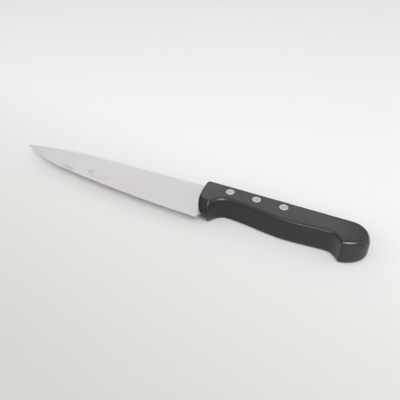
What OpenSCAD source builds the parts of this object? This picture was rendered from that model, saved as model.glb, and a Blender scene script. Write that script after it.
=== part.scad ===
// Kitchen knife lying on its side: a ground blade with a tang let into the
// spine of a one-piece moulded handle, held by three two-part rivets.
// X runs from the point to the butt, Y from the cutting edge to the spine,
// Z up through the thickness. The origin is under the middle of the knife.

/* [Blade] */
// Length from the point to the heel
blade_l = 161; // [141:1:181]
// Depth of the blade at the heel
blade_h = 33; // [31:0.5:36]
// Thickness of the spine at the heel
blade_t = 2; // [1.6:0.1:2.4]
// Thickness left behind the cutting bevel
edge_t = 0.35; // [0.25:0.05:0.6]
// Thickness of the cutting edge itself
apex_t = 0.06; // [0.04:0.01:0.1]
// Height of the cutting bevel
bevel_h = 0.9; // [0.6:0.1:1.4]
// How far the point lies below the spine of the handle
point_drop = 10.2; // [7.2:0.5:13.2]
// Blunt height left at the very point
point_flat = 0.4; // [0.2:0.1:0.8]
// Rise of the edge from the heel to the point, without the curve near the point
sweep_h = 15; // [11:0.5:17]
// Length of the blade behind the heel, where the edge turns up into the handle
choil_l = 1.8; // [1.2:0.1:2.4]
// How far the edge rises over that length
choil_h = 4.6; // [3:0.1:6]

/* [Tang] */
// Depth of the tang below the spine of the handle
tang_h = 13.7; // [12.7:0.5:14.7]
// Length of the tang behind the last rivet
tang_tail = 9; // [7:0.5:14]
// Radius of the corner where the tang ends
tang_corner = 4; // [2:0.5:6]

/* [Handle] */
// Length of the handle
handle_l = 116.7; // [111.2:0.5:123.2]
// Thickness of the handle
handle_t = 18; // [16:0.2:20]
// How far the heel of the blade lies behind the front of the handle
heel_x = 5.4; // [4.6:0.1:6.2]
// Radius of the corner between the front and the spine
corner_r = 3; // [2:0.5:4]
// Depth at which the front starts to curve back to the guard
front_flat = 5.2; // [4:0.2:6.4]
// Place of the lowest point of the guard
guard_x = 11.8; // [11:0.2:13.2]
// Depth of the handle at the guard
guard_w = 28.4; // [26:0.2:30]
// Place of the hollow for the index finger
neck_x = 22; // [21:0.2:25.4]
// Depth of the handle at that hollow
neck_w = 16.8; // [15.8:0.2:17.6]
// Place of the palm swell
swell_x = 64; // [57:0.5:71]
// Depth of the handle at the palm swell
swell_w = 20.6; // [19:0.2:22.4]
// Place of the hollow for the little finger
little_x = 93; // [88.5:0.5:95]
// Depth of the handle at that hollow
little_w = 18.8; // [17.6:0.2:19.6]
// Place of the lowest point of the pommel
hook_x = 101.2; // [99.6:0.2:103.2]
// Depth of the handle at the pommel
hook_w = 25.2; // [23:0.2:27.4]
// Place where the spine starts to curve down to the butt
crown_x = 103; // [97:0.5:105]
// Depth at which the butt reaches furthest back
butt_w = 14.2; // [12.2:0.2:16.2]

/* [Rounding of the handle] */
// Rounding of the spine, across
spine_round = 4.4; // [3:0.1:4.6]
// Rounding of the spine, up
spine_rise = 4.6; // [3:0.1:6]
// Rounding of the front, across
front_round = 2.2; // [1:0.1:3]
// Rounding of the front, up
front_rise = 3.5; // [2:0.1:6]
// Rounding of the guard, across
guard_round = 4.4; // [3:0.1:5.5]
// Rounding of the guard, up
guard_rise = 7.6; // [5:0.1:8.3]
// Rounding of the grip, across
grip_round = 2.4; // [1.5:0.1:4]
// Rounding of the grip, up
grip_rise = 2.8; // [1.5:0.1:5]
// Rounding of the pommel, across
hook_round = 2.2; // [1.2:0.1:3.2]
// Rounding of the pommel, up
hook_rise = 2.6; // [1.5:0.1:5]
// Rounding of the butt, across
butt_round = 3.8; // [2.5:0.1:5.5]
// Rounding of the butt, up
butt_rise = 6.4; // [4:0.1:7.5]

/* [Rivets] */
// Distance from the spine of the handle to the rivets
rivet_y = 8.2; // [8.1:0.1:8.8]
// Distance between rivets
rivet_pitch = 19.2; // [16.2:0.5:22.2]
// Distance from the front of the handle to the first rivet
rivet_x = 20; // [17:0.2:25]
// Diameter of a rivet head
head_d = 6; // [5.6:0.1:6.6]
// Thickness of a rivet head
head_t = 1.4; // [1:0.1:2]
// Outer diameter of the sleeve's barrel
barrel_d = 5; // [4.6:0.1:5.3]
// Diameter of the stud's pin
pin_d = 3.8; // [3.4:0.1:4.1]
// Bevel round the edge of a head
head_bevel = 0.15; // [0.1:0.05:0.3]
// How far the pin's end lies below the head around it
pin_sink = 0.25; // [0.1:0.05:0.5]
// Gap between the barrel's end and the stud's head
barrel_gap = 0.2; // [0.1:0.05:0.5]

/* [Fits] */
// Gap all round the blade and the tang in the handle
slot_gap = 0.05; // [0.03:0.01:0.1]
// Gap round the barrels and the pins
rivet_gap = 0.02; // [0.01:0.01:0.04]

/* [Hidden] */
$fn = 64;

// Cuts run past the faces they open by this much
overrun = 3;
// Shape of the blade: share of the point's drop that the straight spine takes,
// where the spine bends and where the edge curves up, in shares of the length
spine_slope_share = 0.32;
spine_bend_share = 0.6;
belly_start_share = 0.75;
// Share of the spine's thickness lost by the point
taper_share = 0.3;
// Most of the blade's depth that the cutting bevel takes near the point
bevel_depth_share = 0.45;
// Exponents of the blade's curves
sweep_power = 1.8;
belly_power = 1.9;
thin_power = 0.6;
// Exponents of the handle's curves: its front at mid-thickness and at the face,
// the rise behind the guard, the drop to the pommel and the pommel itself
mid_front_power = 2.7;
face_front_power = 6.5;
guard_power = 2.4;
drop_power = 1.6;
pommel_power = 1.7;
// Slope of the face's outline from the foot of the front to the guard's tip,
// and how late on the way down the slope starts
guard_slant = 0.45;
slant_power = 4;
// Fullness of the rounding: 2 is a quarter ellipse and 1 a flat bevel
round_full = 2;
guard_full = 1.27;
// Steps along each curve
blade_steps = 60;
choil_steps = 4;
corner_steps = 5;
front_steps = 14;
belly_steps = 14;
butt_steps = 20;
round_steps = 8;
// Radius of the face's corner between front and spine, and how far the guard
// and the pommel lie further back at the face than at mid-thickness: the guard
// lies ahead of it there
face_corner_r = 1;
guard_lean = -1.2;
hook_lean = 0.4;

mid_z = handle_t / 2;
heel_y = -blade_h;
point_x = heel_x - blade_l;
belly_h = blade_h - point_drop - point_flat - sweep_h;
rear_x = heel_x + choil_l;
tang_end = rivet_x + 2 * rivet_pitch + tang_tail;
slot_t = blade_t + 2 * slot_gap;
place = [-(point_x + handle_l) / 2, -heel_y / 2, 0];

function mix(a, b, t) = a + (b - a) * t;
function ease(t) = (1 - cos(180 * t)) / 2;

// Blade

// Height of the spine at a share of the length, 0 at the heel and 1 at the point
function spine_at(s) =
    let (past = max(0, s - spine_bend_share) / (1 - spine_bend_share))
    -point_drop * (spine_slope_share * s + (1 - spine_slope_share) * past * past);

// Height of the cutting edge there
function edge_at(s) =
    let (past = max(0, s - belly_start_share) / (1 - belly_start_share))
    heel_y + sweep_h * pow(s, sweep_power) + belly_h * pow(past, belly_power);

// Thickness of the spine there
function thick_at(s) =
    let (depth_share = (spine_at(s) - edge_at(s)) / blade_h)
    edge_t + (blade_t - edge_t) * (1 - taper_share * s) * pow(depth_share, thin_power);

// One section across the blade: [height, half thickness] from the spine to the edge
function section(top, bottom, bevel, spine_t, low_t, tip_t) = [
    [top, spine_t / 2],
    [bottom + bevel, low_t / 2],
    [bottom, tip_t / 2],
    [bottom, -tip_t / 2],
    [bottom + bevel, -low_t / 2],
    [top, -spine_t / 2]
];

// A section ahead of the heel, at share s
function blade_section(s) =
    let (top = spine_at(s), bottom = edge_at(s))
    let (bevel = min(bevel_h, (top - bottom) * bevel_depth_share))
    section(top, bottom, bevel, thick_at(s), edge_t, apex_t);

// Thickness of the flat grind at height y, measured at the heel
function grind_at(y) =
    mix(edge_t, blade_t, (y - heel_y - bevel_h) / (blade_h - bevel_h));

// A section behind the heel, where the edge turns up, at share s of the choil
function choil_section(s) =
    let (bottom = heel_y + choil_h * pow(s, 0.5))
    section(0, bottom, bevel_h, blade_t,
        grind_at(bottom + bevel_h), max(apex_t, grind_at(bottom) * s));

module ground_blade() {
    shares = [for (i = [0 : blade_steps]) sin(90 * i / blade_steps)];
    stations = concat(
        [for (i = [choil_steps : -1 : 1])
            [heel_x + choil_l * i / choil_steps, choil_section(i / choil_steps)]],
        [for (s = shares) [heel_x - blade_l * s, blade_section(s)]]
    );
    count = len(stations);
    side = len(stations[0][1]);
    points = [for (st = stations) for (p = st[1]) [st[0], p[0], p[1]]];
    skin = [
        for (i = [0 : count - 2]) for (k = [0 : side - 1])
            let (a = i * side + k, b = i * side + (k + 1) % side)
            for (f = [[a, b, b + side], [a, b + side, a + side]]) f
    ];
    last = (count - 1) * side;
    rear_cap = [[0, 5, 4], [0, 4, 1], [1, 4, 3], [1, 3, 2]];
    point_cap = [for (f = rear_cap) [last + f[2], last + f[1], last + f[0]]];
    polyhedron(points, concat(skin, rear_cap, point_cap), convexity = 6);
}

module rivet_places() {
    for (i = [0 : 2]) translate([rivet_x + i * rivet_pitch, -rivet_y, 0]) children();
}

// Outline of the tang from ahead of its root to its rounded end, grown by gap
module tang_outline(gap, open) {
    difference() {
        translate([heel_x, -tang_h - gap])
            square([tang_end + gap - heel_x, tang_h + gap + open]);
        translate([tang_end - tang_corner, -tang_h - gap]) difference() {
            square([tang_corner + overrun, tang_corner]);
            translate([0, tang_corner]) circle(tang_corner + gap);
        }
    }
}

module blade() {
    color("silver") translate(place) difference() {
        translate([0, 0, mid_z]) union() {
            ground_blade();
            translate([0, 0, -blade_t / 2]) linear_extrude(blade_t) tang_outline(0, 0);
        }
        rivet_places() cylinder(h = handle_t, d = barrel_d + 2 * rivet_gap);
    }
}

// Handle

// Places where the belly of the handle is lowest or highest:
// [place, depth, lean of the face, rounding across, rounding up, its fullness]
belly = [
    [guard_x, guard_w, guard_lean, guard_round, guard_rise, guard_full],
    [neck_x, neck_w, 0, grip_round, grip_rise, round_full],
    [swell_x, swell_w, 0, grip_round, grip_rise, round_full],
    [little_x, little_w, 0, grip_round, grip_rise, round_full],
    [hook_x, hook_w, hook_lean, hook_round, hook_rise, round_full]
];

// How the belly goes from one of these places to the next: away from the
// pointed guard, gently over the grip, and steeply down to the pommel
function way(j, t) =
    j == 0 ? 1 - pow(1 - t, guard_power) :
    j == len(belly) - 2 ? pow(t, drop_power) : ease(t);

// Each point of an outline is [x, y, rounding up, its fullness]. k is 0 at
// mid-thickness and 1 at the flat faces.
function corner_at(t, k) =
    let (r = mix(corner_r, face_corner_r, k))
    [k * front_round + r * (1 - cos(90 * t)), -k * spine_round - r * (1 - sin(90 * t)),
        mix(front_rise, spine_rise, t), round_full];

function front_at(t, k) =
    let (high = max(front_flat, k * (spine_round + 2 * face_corner_r)))
    let (low = guard_w - k * guard_round, back = guard_x + k * guard_lean)
    let (down = sin(90 * t), power = mix(mid_front_power, face_front_power, k))
    let (ahead = (back - k * front_round) * pow(1 - pow(down, power), 1 / power))
    let (lift = k * guard_slant * ahead * pow(down, slant_power))
    [back - ahead, lift - high - (low - high) * down,
        mix(front_rise, guard_rise, t), mix(round_full, guard_full, t)];

function belly_at(j, t, k) =
    let (a = belly[j], b = belly[j + 1], w = way(j, t))
    [mix(a[0] + k * a[2], b[0] + k * b[2], t),
        -mix(a[1] - k * a[3], b[1] - k * b[3], w),
        mix(a[4], b[4], w), mix(a[5], b[5], w)];

function butt_low(t, k) =
    let (x = hook_x + k * hook_lean, y = hook_w - k * hook_round)
    [x + (handle_l - k * butt_round - x) * pow(sin(90 * t), 2 / pommel_power),
        -butt_w - (y - butt_w) * pow(cos(90 * t), 2 / pommel_power),
        mix(hook_rise, butt_rise, t), round_full];

function butt_high(t, k) =
    let (y = k * spine_round)
    [crown_x + (handle_l - k * butt_round - crown_x) * sin(90 * t),
        -butt_w + (butt_w - y) * cos(90 * t),
        mix(spine_rise, butt_rise, t), round_full];

// The side that has the guard and the belly, from the front corner to the butt
function low_side(k) = concat(
    [for (i = [1 : corner_steps]) corner_at(0.5 - 0.5 * i / corner_steps, k)],
    [for (i = [0 : front_steps - 1]) front_at(i / front_steps, k)],
    [for (j = [0 : len(belly) - 2]) for (i = [0 : belly_steps - 1])
        belly_at(j, i / belly_steps, k)],
    [for (i = [0 : butt_steps - 1]) butt_low(i / butt_steps, k)]
);

// Places along the spine, each about above its fellow on the other side, so
// that no triangle of a flat face turns over
function spine_places(k) =
    let (start = corner_at(1, k)[0], tip = guard_x + k * guard_lean)
    let (reach = hook_x + k * hook_lean - tip)
    concat(
        [for (i = [1 : front_steps]) mix(start, tip, i / (front_steps + 1))],
        [for (j = [0 : len(belly) - 2]) for (i = [0 : belly_steps - 1])
            mix(tip, crown_x, (belly_at(j, i / belly_steps, k)[0] - tip) / reach)]
    );

// The side that has the spine, with as many points
function high_side(k) = concat(
    [for (i = [1 : corner_steps]) corner_at(0.5 + 0.5 * i / corner_steps, k)],
    [for (x = spine_places(k)) [x, -k * spine_round, spine_rise, round_full]],
    [for (i = [0 : butt_steps - 1]) butt_high(i / butt_steps, k)]
);

function outline(k) = concat(
    [corner_at(0.5, k)],
    low_side(k),
    [butt_low(1, k)],
    let (high = high_side(k)) [for (i = [len(high) - 1 : -1 : 0]) high[i]]
);

// One ring round the handle: up is 1 at the upper face and -1 at the lower one
function ring(mid, face, turn, up) = [
    for (i = [0 : len(mid) - 1])
        let (power = 2 / mid[i][3], in = 1 - pow(cos(turn), power), rise = mid[i][2])
        [mix(mid[i][0], face[i][0], in), mix(mid[i][1], face[i][1], in),
            mid_z + up * (mid_z - rise * (1 - pow(sin(turn), power)))]
];

module handle_body() {
    mid = outline(0);
    face = outline(1);
    n = len(mid);
    pairs = (n - 2) / 2;
    turns = [for (i = [0 : round_steps]) 90 * i / round_steps];
    rings = concat(
        [for (i = [round_steps : -1 : 0]) ring(mid, face, turns[i], -1)],
        [for (i = [0 : round_steps]) ring(mid, face, turns[i], 1)]
    );
    points = [for (r = rings) for (p = r) p];
    walls = [
        for (r = [0 : len(rings) - 2]) for (i = [0 : n - 1])
            let (a = r * n + i, b = r * n + (i + 1) % n)
            for (f = [[a, a + n, b + n], [a, b + n, b]]) f
    ];
    upper = [
        [0, n - 1, 1],
        for (i = [1 : pairs - 1])
            for (f = [[i, n - i, n - i - 1], [i, n - i - 1, i + 1]]) f,
        [pairs, n - pairs, pairs + 1]
    ];
    top = (len(rings) - 1) * n;
    upper_cap = [for (f = upper) [top + f[0], top + f[1], top + f[2]]];
    lower_cap = [for (f = upper) [f[2], f[1], f[0]]];
    polyhedron(points, concat(walls, upper_cap, lower_cap), convexity = 8);
}

// Pocket for the rear of the blade, open at the front, the spine and the guard
module blade_pocket() {
    low = heel_y - overrun;
    wide = blade_t / 2 + slot_gap;
    narrow = edge_t / 2 + slot_gap;
    translate([-overrun, 0, mid_z]) rotate([90, 0, 90])
        linear_extrude(overrun + rear_x + slot_gap)
            polygon([
                [overrun, wide], [0, wide], [heel_y + bevel_h, narrow],
                [low, narrow], [low, -narrow], [heel_y + bevel_h, -narrow],
                [0, -wide], [overrun, -wide]
            ]);
}

module tang_slot() {
    translate([0, 0, mid_z - slot_t / 2]) linear_extrude(slot_t)
        tang_outline(slot_gap, overrun);
}

module rivet_hole() {
    bore = barrel_d + 2 * rivet_gap;
    seat = head_d + 2 * rivet_gap;
    translate([0, 0, -overrun]) cylinder(h = handle_t + 2 * overrun, d = bore);
    translate([0, 0, handle_t - head_t]) cylinder(h = head_t + overrun, d = seat);
    translate([0, 0, -overrun]) cylinder(h = head_t + overrun, d = seat);
}

module handle() {
    color("#2b2b2d") translate(place) difference() {
        handle_body();
        blade_pocket();
        tang_slot();
        rivet_places() rivet_hole();
    }
}

// Rivets

// Headed tube whose head shows on the upper face
module sleeve() {
    bore = pin_d / 2 + rivet_gap;
    barrel = barrel_d / 2;
    head = head_d / 2;
    foot = head_t + barrel_gap;
    rotate_extrude() polygon([
        [bore, foot], [barrel, foot], [barrel, handle_t - head_t],
        [head, handle_t - head_t], [head, handle_t - head_bevel],
        [head - head_bevel, handle_t], [bore + head_bevel, handle_t],
        [bore, handle_t - head_bevel]
    ]);
}

// Headed pin whose head shows on the lower face and whose end fills the tube
module stud() {
    pin = pin_d / 2;
    head = head_d / 2;
    tip = handle_t - pin_sink;
    rotate_extrude() polygon([
        [0, 0], [head - head_bevel, 0], [head, head_bevel], [head, head_t],
        [pin, head_t], [pin, tip - head_bevel], [pin - head_bevel, tip], [0, tip]
    ]);
}

module at_rivet(i) {
    translate(place) translate([rivet_x + i * rivet_pitch, -rivet_y, 0]) children();
}

module front_rivet_sleeve() { color("gainsboro") at_rivet(0) sleeve(); }
module front_rivet_stud() { color("darkgray") at_rivet(0) stud(); }
module middle_rivet_sleeve() { color("gainsboro") at_rivet(1) sleeve(); }
module middle_rivet_stud() { color("darkgray") at_rivet(1) stud(); }
module rear_rivet_sleeve() { color("gainsboro") at_rivet(2) sleeve(); }
module rear_rivet_stud() { color("darkgray") at_rivet(2) stud(); }

blade();
handle();
front_rivet_sleeve();
front_rivet_stud();
middle_rivet_sleeve();
middle_rivet_stud();
rear_rivet_sleeve();
rear_rivet_stud();
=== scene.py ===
import math

import bpy
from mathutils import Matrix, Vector


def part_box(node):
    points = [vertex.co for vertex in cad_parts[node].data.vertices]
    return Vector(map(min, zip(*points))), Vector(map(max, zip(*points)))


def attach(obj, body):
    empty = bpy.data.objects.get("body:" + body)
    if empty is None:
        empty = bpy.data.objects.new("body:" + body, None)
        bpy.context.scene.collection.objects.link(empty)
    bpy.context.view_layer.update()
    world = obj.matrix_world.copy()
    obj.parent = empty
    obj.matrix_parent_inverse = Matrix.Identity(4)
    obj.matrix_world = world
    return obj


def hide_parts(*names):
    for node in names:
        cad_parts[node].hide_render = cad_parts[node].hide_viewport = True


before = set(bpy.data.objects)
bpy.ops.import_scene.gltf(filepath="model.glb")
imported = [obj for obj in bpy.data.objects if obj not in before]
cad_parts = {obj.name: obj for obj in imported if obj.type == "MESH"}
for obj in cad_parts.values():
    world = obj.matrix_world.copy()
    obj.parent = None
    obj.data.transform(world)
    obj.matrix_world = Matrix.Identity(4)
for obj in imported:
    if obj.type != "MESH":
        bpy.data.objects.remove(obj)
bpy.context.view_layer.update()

mm = 0.001

# The knife lies on its side: point at -X, butt at +X, cutting edge at -Y, spine at +Y
bladeLow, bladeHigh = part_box("blade")
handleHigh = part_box("handle")[1]


# Mesh tools

def pickOnly(piece):
    bpy.ops.object.select_all(action="DESELECT")
    piece.select_set(True)
    bpy.context.view_layer.objects.active = piece


def openMesh(piece, mode="VERT", choose="SELECT"):
    pickOnly(piece)
    bpy.ops.object.mode_set(mode="EDIT")
    bpy.ops.mesh.select_mode(type=mode)
    bpy.ops.mesh.select_all(action=choose)


def closeMesh():
    bpy.ops.object.mode_set(mode="OBJECT")


mergeWithin = 0.002 * mm


# A copy of a CAD node's mesh, whose loose triangles are merged
def castCopy(nodeName, pieceName):
    piece = bpy.data.objects.new(pieceName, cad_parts[nodeName].data.copy())
    bpy.context.scene.collection.objects.link(piece)
    piece.data.materials.clear()
    openMesh(piece)
    bpy.ops.mesh.customdata_custom_splitnormals_clear()
    bpy.ops.mesh.remove_doubles(threshold=mergeWithin)
    closeMesh()
    return piece


# Angle between the two faces at each edge, in degrees, by edge index
def edgeTurn(piece):
    normals = {}
    for face in piece.data.polygons:
        for key in face.edge_keys:
            normals.setdefault(key, []).append(face.normal.copy())
    turns = {}
    for edge in piece.data.edges:
        pair = normals.get(edge.key, [])
        turns[edge.index] = math.degrees(pair[0].angle(pair[1], 0)) if len(pair) == 2 else 0
    return turns


def smoothShade(piece, sharpAngle):
    pickOnly(piece)
    bpy.ops.object.shade_smooth_by_angle(angle=math.radians(sharpAngle))
    weigh = piece.modifiers.new("weigh", "WEIGHTED_NORMAL")  # keeps flat faces flat
    weigh.keep_sharp = True
    weigh.weight = 80
    bpy.ops.object.modifier_apply(modifier=weigh.name)


def ready(piece, nodeName):
    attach(piece, "root")
    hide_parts(nodeName)
    print("made", piece.name, len(piece.data.polygons), "faces")


# Material tools

def startMaterial(name):
    made = bpy.data.materials.new(name)
    made.use_nodes = True
    tree = made.node_tree
    shader = tree.nodes["Principled BSDF"]
    return made, tree, shader


# An input is a plain value, or the output of another node to link
def feed(tree, socket, value):
    if isinstance(value, bpy.types.NodeSocket):
        tree.links.new(value, socket)
    else:
        socket.default_value = value


def put(tree, kind, inputs=None, **settings):
    node = tree.nodes.new(kind)
    for key, value in settings.items():
        setattr(node, key, value)
    for key, value in (inputs or {}).items():
        feed(tree, node.inputs[key], value)
    return node


def inMetres(tree):
    return put(tree, "ShaderNodeTexCoord").outputs["Object"]


# Object coordinates in millimetres, stretched by a pattern's own scales
def inMm(tree, stretch=(1, 1, 1)):
    return put(tree, "ShaderNodeMapping", {
        "Vector": inMetres(tree), "Scale": [s / mm for s in stretch]}).outputs["Vector"]


def along(tree, vector, axis):
    return put(tree, "ShaderNodeSeparateXYZ", {"Vector": vector}).outputs[axis]


def noise(tree, vector, scale, detail=3.0, roughness=0.55, output="Fac"):
    return put(tree, "ShaderNodeTexNoise", {
        "Vector": vector, "Scale": scale, "Detail": detail,
        "Roughness": roughness}).outputs[output]


# A value's range between low and high, spread from toLow to toHigh
def spread(tree, value, low, high, toLow=0.0, toHigh=1.0, kind="LINEAR"):
    return put(tree, "ShaderNodeMapRange", {
        "Value": value, "From Min": low, "From Max": high, "To Min": toLow, "To Max": toHigh,
    }, interpolation_type=kind, clamp=True).outputs["Result"]


def reckon(tree, how, a, b):
    return put(tree, "ShaderNodeMath", {0: a, 1: b}, operation=how).outputs["Value"]


def plus(tree, a, b):
    return reckon(tree, "ADD", a, b)


def times(tree, a, b):
    return reckon(tree, "MULTIPLY", a, b)


def reckonVector(tree, how, inputs, output="Vector"):
    return put(tree, "ShaderNodeVectorMath", inputs, operation=how).outputs[output]


def blend(tree, share, a, b):
    node = put(tree, "ShaderNodeMix", data_type="RGBA")
    for socket, value in (("Factor_Float", share), ("A_Color", a), ("B_Color", b)):
        feed(tree, next(s for s in node.inputs if s.identifier == socket), value)
    return next(s for s in node.outputs if s.identifier == "Result_Color")


def bump(tree, height, strength, distance):
    return put(tree, "ShaderNodeBump", {
        "Height": height, "Strength": strength, "Distance": distance}).outputs["Normal"]


# Handle: one black moulding with half gloss

handleLook = {
    "dark": (0.0050, 0.0045, 0.0060, 1),
    "light": (0.0075, 0.0067, 0.0090, 1),
    "cloudScale": 0.05,
    "cloudRange": (0.3, 0.7),
    # The black is painted paler towards the butt: painted light standing in for the light the
    # pommel catches
    "paintedButtLight": (0.0225, 0.0205, 0.0240, 1),
    "paintedButtLightRange": (62 * mm, 130 * mm),
    # Wear on the ridges, in patches, and faint scratches lengthwise
    "worn": (0.075, 0.076, 0.078, 1),
    "wornShare": 0.5,
    "wornRidge": (0.53, 0.62),
    "wornPatchScale": 0.9,
    "wornPatch": (0.45, 0.7),
    "scratchStretch": (0.05, 1.6, 1.6),
    "scratchScale": 1.5,
    "scratchRange": (0.66, 0.72),
    "scratchShare": 0.25,
    "scratchRough": 0.15,
    "roughLow": 0.17,
    "roughHigh": 0.24,
    "roughFront": 0.10,
    "specular": 0.5,
    "grainMm": 0.35,
    "grainHeight": 0.012 * mm,
    "grainStrength": 0.5,
    # The upright ridges at the guard's tip and the pommel's inner corner are a little blunt
    "ridgeAngle": 38,
    "ridgeUpright": 0.3,
    "ridgeFromSpine": 15 * mm,
    "ridgeRound": 0.55 * mm,
    "ridgeSteps": 3,
    "needle": 0.01 * mm,
    "quadTurn": 40,
    "quadSkew": 60,
    "sharpAngle": 32,
}


def plasticMaterial():
    look = handleLook
    made, tree, shader = startMaterial("handle_plastic")
    grain = noise(tree, inMm(tree), 1 / look["grainMm"], detail=2)
    cloud = noise(tree, inMm(tree), look["cloudScale"])
    streaks = noise(tree, inMm(tree, look["scratchStretch"]), look["scratchScale"],
                    detail=5, roughness=0.7)
    scratch = spread(tree, streaks, *look["scratchRange"])
    pointed = put(tree, "ShaderNodeNewGeometry").outputs["Pointiness"]
    patches = noise(tree, inMm(tree), look["wornPatchScale"])
    worn = times(tree, spread(tree, pointed, *look["wornRidge"]),
                 spread(tree, patches, *look["wornPatch"]))
    # Share along the knife from front to butt, for the painted light on the butt; it also sets
    # the roughness
    paintedButtLight = spread(tree, along(tree, inMetres(tree), "X"), *look["paintedButtLightRange"])

    body = blend(tree, spread(tree, cloud, *look["cloudRange"]), look["dark"], look["light"])
    # Painted light: the black is made paler towards the butt
    body = blend(tree, paintedButtLight, body, look["paintedButtLight"])
    body = blend(tree, times(tree, scratch, look["scratchShare"]), body, look["worn"])
    body = blend(tree, times(tree, worn, look["wornShare"]), body, look["worn"])
    tree.links.new(body, shader.inputs["Base Color"])

    rough = spread(tree, cloud, *look["cloudRange"], look["roughLow"], look["roughHigh"])
    rough = plus(tree, rough, times(tree, scratch, look["scratchRough"]))
    rough = plus(tree, rough, spread(tree, paintedButtLight, 0, 1, look["roughFront"], 0))
    tree.links.new(rough, shader.inputs["Roughness"])
    shader.inputs["Specular IOR Level"].default_value = look["specular"]
    normal = bump(tree, grain, look["grainStrength"], look["grainHeight"])
    tree.links.new(normal, shader.inputs["Normal"])
    return made


def bluntRidges(piece):
    look = handleLook
    turns = edgeTurn(piece)
    openMesh(piece, "EDGE", "DESELECT")
    closeMesh()
    for edge in piece.data.edges:
        a, b = (piece.data.vertices[i].co for i in edge.vertices)
        outside = max(a.y, b.y) < handleHigh.y - look["ridgeFromSpine"]
        upright = abs(a.z - b.z) > look["ridgeUpright"] * (a - b).length
        if turns[edge.index] > look["ridgeAngle"] and outside and upright:
            edge.select = True
    chosen = sum(e.select for e in piece.data.edges)
    print("ridge edges", chosen)
    if chosen:
        bpy.ops.object.mode_set(mode="EDIT")
        bpy.ops.mesh.bevel(offset=look["ridgeRound"], segments=look["ridgeSteps"], affect="EDGES")
        bpy.ops.mesh.select_all(action="SELECT")
        bpy.ops.mesh.dissolve_degenerate(threshold=look["needle"])  # left at the bevel's ends
        closeMesh()


def makeHandle():
    look = handleLook
    piece = castCopy("handle", "handle_moulding")
    openMesh(piece)
    bpy.ops.mesh.tris_convert_to_quads(face_threshold=math.radians(look["quadTurn"]),
                                       shape_threshold=math.radians(look["quadSkew"]))
    closeMesh()
    bluntRidges(piece)
    smoothShade(piece, look["sharpAngle"])
    piece.data.materials.append(plasticMaterial())
    ready(piece, "handle")


# Blade: flat-ground steel with a satin finish

bladeLook = {
    "steel": (0.495, 0.487, 0.481, 1),
    "steelDark": (0.465, 0.457, 0.452, 1),
    "cloudScale": 0.035,
    "cloudShare": 0.6,
    "bandStretch": (0.5, 0.02, 0.2),
    "bandScale": 1.2,
    "bandShare": 0.4,
    "toneRange": (0.35, 0.65),
    # Grinding lines across the blade
    "grindStretch": (1, 0.012, 0.4),
    "grindScale": 9,
    "grindRange": (0.3, 0.7),
    "grindHeight": 0.01 * mm,
    "grindStrength": 0.12,
    "roughLow": 0.30,
    "roughHigh": 0.42,
    "sharpAngle": 20,
    # Dried water marks on the upper side, in mm: start, end, width and strength of each
    "stain": (0.33, 0.32, 0.33, 1),
    "stainRough": 0.2,
    "marks": [
        ((-90.5, -5.2), (-84.5, -6.8), 3.0, 0.38),
        ((-71.8, -2.9), (-68.0, -2.2), 2.4, 0.40),
        ((-70.4, -3.0), (-67.6, -5.4), 1.7, 0.38),
        ((-67.6, -5.4), (-64.4, -7.8), 1.4, 0.36),
        ((-64.4, -7.8), (-58.1, -7.9), 1.2, 0.30),
        ((-58.1, -7.9), (-52.4, -4.6), 1.3, 0.36),
    ],
    "warmStain": (0.50, 0.465, 0.455, 1),
    "warmMarks": [
        ((-56.5, -10.2), (-52.0, -9.4), 3.2, 0.75),
        ((-47.0, -8.0), (-39.0, -1.5), 8.5, 0.45),
    ],
    "wobbleScale": 0.45,
    "wobbleMm": 2.4,
}


# How near a point is to the line from one place to another: 1 on it, 0 a width away
def strokeMask(tree, spot, start, end, width):
    first = (start[0], start[1], 0)
    run = (end[0] - start[0], end[1] - start[1], 0)
    offset = reckonVector(tree, "SUBTRACT", {0: spot, 1: first})
    reach = reckonVector(tree, "DOT_PRODUCT", {0: offset, 1: run}, "Value")
    share = spread(tree, reach, 0, run[0] ** 2 + run[1] ** 2)
    foot = reckonVector(tree, "SCALE", {0: run, "Scale": share})
    gap = reckonVector(tree, "DISTANCE", {0: offset, 1: foot}, "Value")
    return spread(tree, gap, 0, width, 1, 0, "SMOOTHSTEP")


# All strokes of one colour in one mask on the upper side, their edges wobbled by noise
def strokesMask(tree, strokes):
    look = bladeLook
    flat = inMm(tree, (1, 1, 0))
    wobble = noise(tree, flat, look["wobbleScale"], roughness=0.5, output="Color")
    shift = reckonVector(tree, "SUBTRACT", {0: wobble, 1: (0.5, 0.5, 0.5)})
    reach = (look["wobbleMm"], look["wobbleMm"], 0)
    spot = reckonVector(tree, "MULTIPLY_ADD", {0: shift, 1: reach, 2: flat})
    total = None
    for start, end, width, strength in strokes:
        mask = times(tree, strokeMask(tree, spot, start, end, width), strength)
        total = mask if total is None else reckon(tree, "MAXIMUM", total, mask)
    middle = (bladeLow.z + bladeHigh.z) / 2
    upper = reckon(tree, "GREATER_THAN", along(tree, inMetres(tree), "Z"), middle)
    return times(tree, total, upper)


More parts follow.
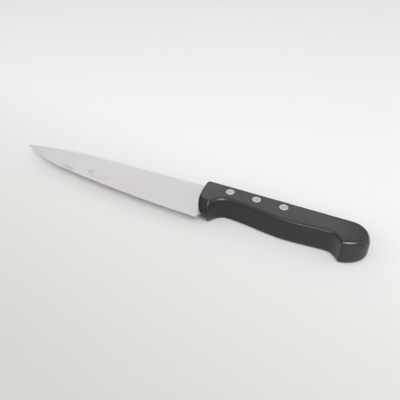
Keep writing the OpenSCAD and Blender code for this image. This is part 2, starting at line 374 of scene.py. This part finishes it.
def steelMaterial():
    look = bladeLook
    made, tree, shader = startMaterial("blade_steel")
    grind = noise(tree, inMm(tree, look["grindStretch"]), look["grindScale"],
                  detail=4, roughness=0.7)
    cloud = noise(tree, inMm(tree), look["cloudScale"], detail=4)
    bands = noise(tree, inMm(tree, look["bandStretch"]), look["bandScale"])
    tone = plus(tree, times(tree, cloud, look["cloudShare"]),
                times(tree, bands, look["bandShare"]))
    stains = strokesMask(tree, look["marks"])

    body = blend(tree, spread(tree, tone, *look["toneRange"]), look["steelDark"], look["steel"])
    body = blend(tree, strokesMask(tree, look["warmMarks"]), body, look["warmStain"])
    body = blend(tree, stains, body, look["stain"])
    tree.links.new(body, shader.inputs["Base Color"])

    rough = spread(tree, grind, *look["grindRange"], look["roughLow"], look["roughHigh"])
    rough = plus(tree, rough, times(tree, stains, look["stainRough"]))
    tree.links.new(rough, shader.inputs["Roughness"])
    shader.inputs["Metallic"].default_value = 1.0
    normal = bump(tree, grind, look["grindStrength"], look["grindHeight"])
    tree.links.new(normal, shader.inputs["Normal"])
    return made


def makeBlade():
    piece = castCopy("blade", "blade_ground")
    smoothShade(piece, bladeLook["sharpAngle"])
    piece.data.materials.append(steelMaterial())
    ready(piece, "blade")
    return piece


# Rivets: dull aluminium

rivetLook = {
    "ring": (0.555, 0.56, 0.553, 1),
    "core": (0.435, 0.44, 0.435, 1),
    "roughLow": 0.62,
    "roughHigh": 0.76,
    "speckScale": 3,
    "speckRange": (0.3, 0.7),
}


def rivetMaterial(name, tone):
    look = rivetLook
    made, tree, shader = startMaterial(name)
    shader.inputs["Base Color"].default_value = tone
    shader.inputs["Metallic"].default_value = 1.0
    speck = noise(tree, inMm(tree), look["speckScale"])
    rough = spread(tree, speck, *look["speckRange"], look["roughLow"], look["roughHigh"])
    tree.links.new(rough, shader.inputs["Roughness"])
    return made


def dressRivets():
    ring = rivetMaterial("rivet_sleeve_metal", rivetLook["ring"])
    core = rivetMaterial("rivet_stud_metal", rivetLook["core"])
    for name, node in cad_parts.items():
        if "rivet" in name:
            node.data.materials.clear()
            node.data.materials.append(ring if "sleeve" in name else core)
    print("rivets dressed")


# Stage: floor, light and camera

floorLook = {
    "size": 8.0,
    "drop": 0.05 * mm,
    # The floor is painted darker and warmer towards the near (-Y) side and brighter at the far
    # side: painted shade across the floor
    "near": (0.677, 0.674, 0.642, 1),
    "far": (0.975, 0.98, 0.99, 1),
    "turn": 5,
    "paintedShadeRange": (-0.16, 0.08),
    "rough": 0.6,
    "specular": 0.2,
}


def makeFloor():
    look = floorLook
    bpy.ops.object.select_all(action="DESELECT")
    bpy.ops.mesh.primitive_plane_add(size=look["size"], location=(0, 0, -look["drop"]))
    floor = bpy.context.object
    floor.name = "floor"
    bpy.ops.object.transform_apply(location=True, rotation=True, scale=True)
    made, tree, shader = startMaterial("pale_floor")
    turned = put(tree, "ShaderNodeMapping", {
        "Vector": inMetres(tree), "Rotation": (0, 0, math.radians(look["turn"]))})
    # Painted shade: the floor's colour runs along Y from the darker near tone to the bright far
    # tone
    share = spread(tree, along(tree, turned.outputs["Vector"], "Y"), *look["paintedShadeRange"])
    tree.links.new(blend(tree, share, look["near"], look["far"]), shader.inputs["Base Color"])
    shader.inputs["Roughness"].default_value = look["rough"]
    shader.inputs["Specular IOR Level"].default_value = look["specular"]
    floor.data.materials.append(made)


def aimedAt(spot, target):
    return (Vector(target) - Vector(spot)).to_track_quat("-Z", "Y").to_euler()


lightLook = {
    "skyColour": (1.0, 0.99, 0.98, 1),
    "skyStrength": 0.37,
    # Way from the knife, distance, size, power, tint, and where each lamp shows:
    # everywhere, on matt faces (the floor and its shadows), in what shines, or in
    # what shines but for the steel, which would turn white from behind
    "lamps": {
        "key_window": ((0.37, -0.51, 0.775), 2.8, (1.6, 1.2), 35.0, (1.0, 0.992, 0.975), "matt"),
        "low_front": ((0.20, -0.74, 0.64), 3.0, (2.4, 0.75), 19.0, (1.0, 0.992, 0.975), "matt"),
        "left_softbox": ((-0.53, -0.63, 0.57), 2.0, (2.0, 1.6), 6.0, (1.0, 0.99, 1.0), "all"),
        "right_softbox": ((0.85, 0.15, 0.45), 2.0, (2.0, 1.6), 6.5, (1.0, 1.0, 1.0), "all"),
        "window": ((0.44, -0.60, 0.67), 2.8, (1.45, 0.80), 41.0, (1.0, 0.992, 0.975), "shine"),
        "wide_window": ((0.249, -0.724, 0.643), 2.7, (2.7, 2.0), 34.0, (1.0, 0.992, 0.985),
                        "no steel"),
        "window_glint": ((0.507, -0.396, 0.766), 2.6, (1.3, 0.8), 25.0, (1.0, 0.992, 0.985),
                         "no steel"),
        "rear_softbox": ((-0.42, 0.68, 0.60), 0.9, (0.95, 0.45), 1.82, (0.99, 0.97, 1.02),
                         "shine"),
        "ceiling_softbox": ((-0.12, 0.26, 0.96), 1.2, (0.75, 0.75), 1.85, (0.98, 0.99, 1.0),
                            "shine"),
        "ridge_card": ((-0.13, -0.21, 0.97), 1.2, (0.5, 0.55), 0.85, (1.0, 1.0, 1.0), "no steel"),
        "butt_card": ((0.42, 0.67, 0.61), 1.2, (0.75, 0.5), 0.7, (1.0, 1.0, 1.0), "no steel"),
    },
}


def addLamp(name):
    way, distance, size, power, tint, shows = lightLook["lamps"][name]
    spot = [distance * c for c in way]
    bpy.ops.object.light_add(type="AREA", location=spot, rotation=aimedAt(spot, (0, 0, 0)))
    lamp = bpy.context.object
    lamp.name = name
    lamp.data.shape = "RECTANGLE"
    lamp.data.size, lamp.data.size_y = size
    lamp.data.energy = power
    lamp.data.color = tint
    lamp.visible_glossy = shows != "matt"
    lamp.visible_diffuse = shows in ("all", "matt")


def makeLights():
    world = bpy.data.worlds.new("studio")
    bpy.context.scene.world = world
    world.use_nodes = True
    sky = world.node_tree.nodes["Background"]
    sky.inputs["Color"].default_value = lightLook["skyColour"]
    sky.inputs["Strength"].default_value = lightLook["skyStrength"]
    for name in lightLook["lamps"]:
        addLamp(name)


def keepOffSteel(piece):
    flag = bpy.data.collections.new("steel_flag")
    flag.objects.link(piece)
    flag.collection_objects[0].light_linking.link_state = "EXCLUDE"
    for name, lamp in lightLook["lamps"].items():
        if lamp[-1] == "no steel":
            bpy.data.objects[name].light_linking.receiver_collection = flag


cameraLook = {
    "place": (143.6 * mm, -255.0 * mm, 233.3 * mm),
    "lookAt": (14.61 * mm, 11.85 * mm, -0.13 * mm),
    "lens": 46.57,
    "sensor": 36,
    "clipStart": 10 * mm,
}


def makeCamera():
    look = cameraLook
    bpy.ops.object.camera_add(location=look["place"],
                              rotation=aimedAt(look["place"], look["lookAt"]))
    camera = bpy.context.object
    camera.name = "photo_camera"
    camera.data.lens = look["lens"]
    camera.data.sensor_width = look["sensor"]
    camera.data.clip_start = look["clipStart"]
    bpy.context.scene.camera = camera


bpy.context.scene.view_settings.view_transform = "Standard"
makeCamera()
makeFloor()
makeLights()
print("stage ready")
makeHandle()
keepOffSteel(makeBlade())
dressRivets()
print("knife ready")
